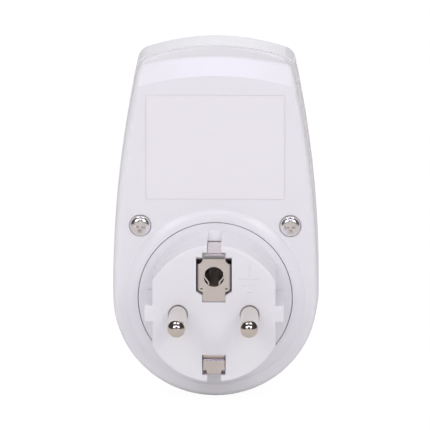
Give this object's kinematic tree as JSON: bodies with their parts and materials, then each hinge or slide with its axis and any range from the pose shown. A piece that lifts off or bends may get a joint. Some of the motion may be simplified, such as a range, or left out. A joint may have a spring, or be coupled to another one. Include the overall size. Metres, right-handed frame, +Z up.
{
  "type": "plug in dimmer",
  "caption": "Plug-in rotary dimmer in a rounded white case: earthed two-pin plug on a round boss at the back, earthed socket with shutter and a fluted turning knob at the front.",
  "frame": {"origin": "centre of the plug's end face, between the two plug pins", "axes": "+Y along the plug pins, towards the wall socket; +Z up, towards the end with the knob; +X to the right seen from the front"},
  "size_m": [0.0556, 0.078, 0.0948],
  "materials": {
    "case": "glossy moulded",
    "knob": "glossy moulded",
    "pin": "nickel plated, polished",
    "earth_metal": "nickel plated, satin",
    "screw": "zinc plated",
    "spring": "drawn wire",
    "contact": "bare",
    "insulator": "matt",
    "board": "matt",
    "supply_insulation": "satin",
    "load_insulation": "satin",
    "neutral_insulation": "satin",
    "control_metal": "nickel plated",
    "shaft": "satin",
    "capacitor": "satin",
    "small_capacitor": "satin",
    "ferrite": "matt",
    "winding": "enamelled copper",
    "heat_sink": "plain",
    "black_component": "matt",
    "diac_glass": "satin",
    "resistor": "satin",
    "fuse_glass": "clear",
    "fuse_metal": "nickel plated"
  },
  "bodies": {
    "adapter": {"rear_cover": "case", "front_housing": "case", "case_screws": "screw", "plug_insert": "case", "live_pin": "pin", "neutral_pin": "pin", "earth_strap": "earth_metal", "earth_contact_plate": "earth_metal", "earth_pin_spring": "earth_metal", "socket_insert": "case", "socket_earth_pin": "pin", "shutter_retainer": "case", "shutter_spring": "spring", "neutral_contact": "contact", "live_contact": "contact", "contact_insulator": "insulator", "circuit_board": "board", "board_screws": "screw", "supply_wire": "supply_insulation", "load_wire": "load_insulation", "neutral_wire": "neutral_insulation", "control_plate": "insulator", "control_cup": "control_metal", "control_washer": "control_metal", "control_nut": "control_metal", "filter_capacitor": "capacitor", "choke_core": "ferrite", "choke_winding": "winding", "heat_sink": "heat_sink", "triac": "black_component", "triac_screw": "screw", "triac_nut": "screw", "timing_capacitor": "small_capacitor", "diac": "diac_glass", "resistors": "resistor", "fuse_tube": "fuse_glass", "fuse_caps": "fuse_metal", "fuse_clips": "fuse_metal"},
    "knob": {"dimmer_knob": "knob", "control_shaft": "shaft", "control_wiper": "contact"},
    "shutter": {"socket_shutter": "case"}
  },
  "joints": [
    {"name": "knob_turn", "type": "hinge", "parent": "adapter", "child": "knob", "pos_m": [0, -0.0465, 0.045], "axis": [0, 1, 0], "range_deg": [0, 300]},
    {"name": "shutter_turn", "type": "hinge", "parent": "adapter", "child": "shutter", "pos_m": [0, -0.0294, 0], "axis": [0, 1, 0], "range_deg": [0, 38], "stiffness_Nm_per_rad": 0.003, "springref_deg": -17.19, "deforming": ["shutter_spring"]}
  ]
}
